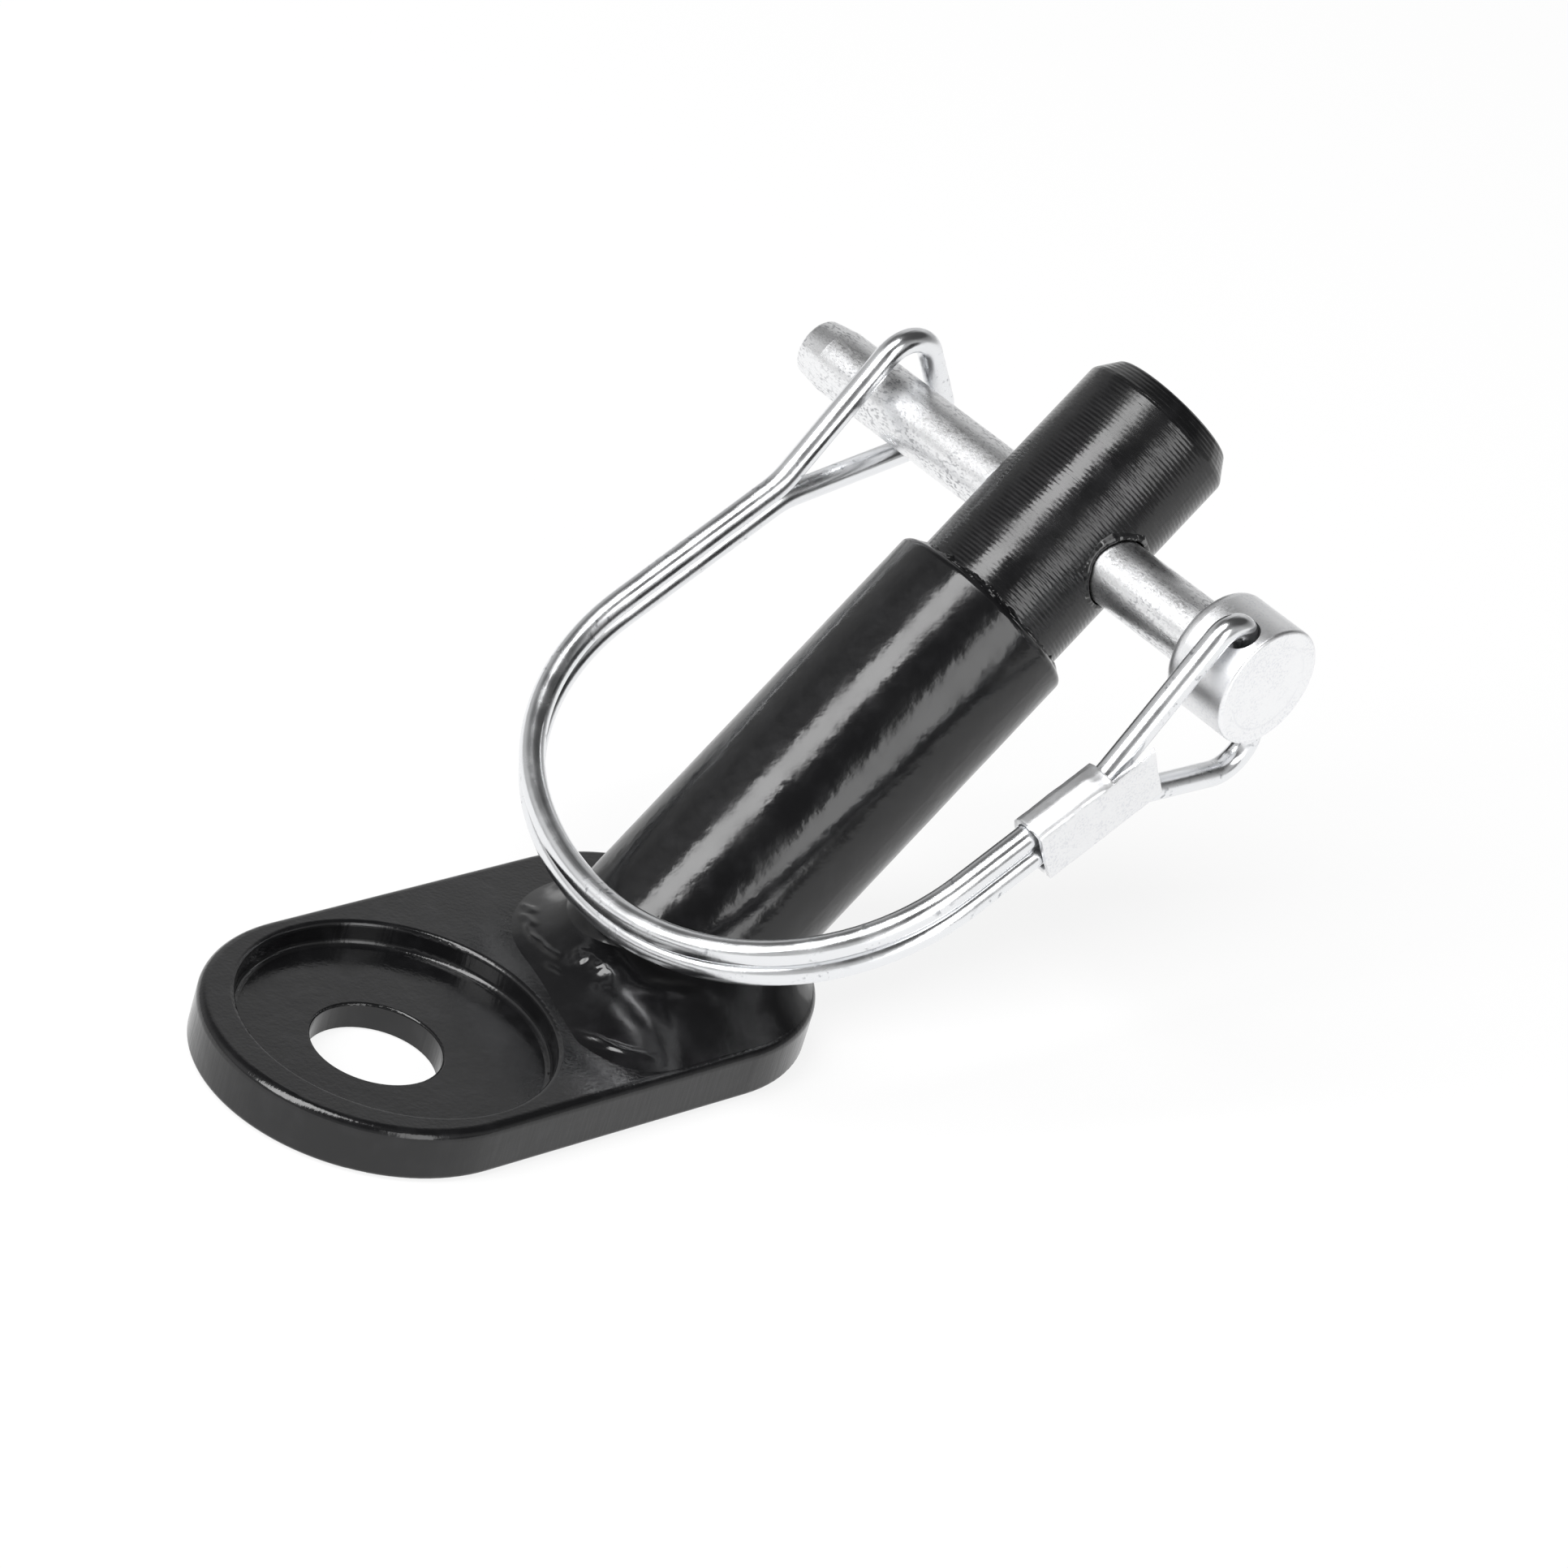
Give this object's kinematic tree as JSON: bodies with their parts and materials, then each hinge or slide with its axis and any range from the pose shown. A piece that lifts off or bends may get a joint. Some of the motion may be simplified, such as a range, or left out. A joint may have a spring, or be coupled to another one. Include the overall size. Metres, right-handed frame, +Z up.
{
  "type": "bicycle trailer hitch coupler",
  "caption": "Flat steel axle plate with a slanted welded tube and stud, cross-drilled for a wire-lock hitch pin whose D-shaped spring bail snaps over the pin's tail.",
  "frame": {"origin": "centre of the axle hole on the plate's underside", "axes": "+Z up through the axle hole, out of the nut recess; +X along the plate from the axle hole towards the slanted tube; the lock pin lies along Y with its head on the -Y side"},
  "size_m": [0.1024, 0.062, 0.0584],
  "materials": {
    "black_powder_coat": "gloss",
    "zinc_plated_steel": "bright zinc",
    "bright_spring_wire": "polished",
    "ferrule_sheet": "satin"
  },
  "bodies": {
    "bracket": {"axle_plate": "black_powder_coat", "sleeve_tube": "black_powder_coat", "stud_bar": "black_powder_coat", "weld_bead": "black_powder_coat"},
    "lock_pin_shaft": {"pin_shaft": "zinc_plated_steel"},
    "lock_pin_head": {"pin_head": "zinc_plated_steel"},
    "bail": {"bail_wire": "bright_spring_wire", "ferrule": "ferrule_sheet"}
  },
  "joints": [
    {"name": "pin_slide", "type": "slide", "parent": "bracket", "child": "lock_pin_shaft", "axis": [0, -1, 0], "range_m": [-0.0105, 0.046]},
    {"name": "pin_turn", "type": "hinge", "parent": "lock_pin_shaft", "child": "lock_pin_head", "pos_m": [0.07061, 0, 0.04291], "axis": [0, 1, 0], "range_deg": [-0.2, 332]},
    {"name": "bail_swing", "type": "hinge", "parent": "lock_pin_head", "child": "bail", "pos_m": [0.07061, -0.0253, 0.04291], "axis": [-0.541, 0, 0.841], "range_deg": [0, 180], "deforming": ["bail_wire"]}
  ]
}
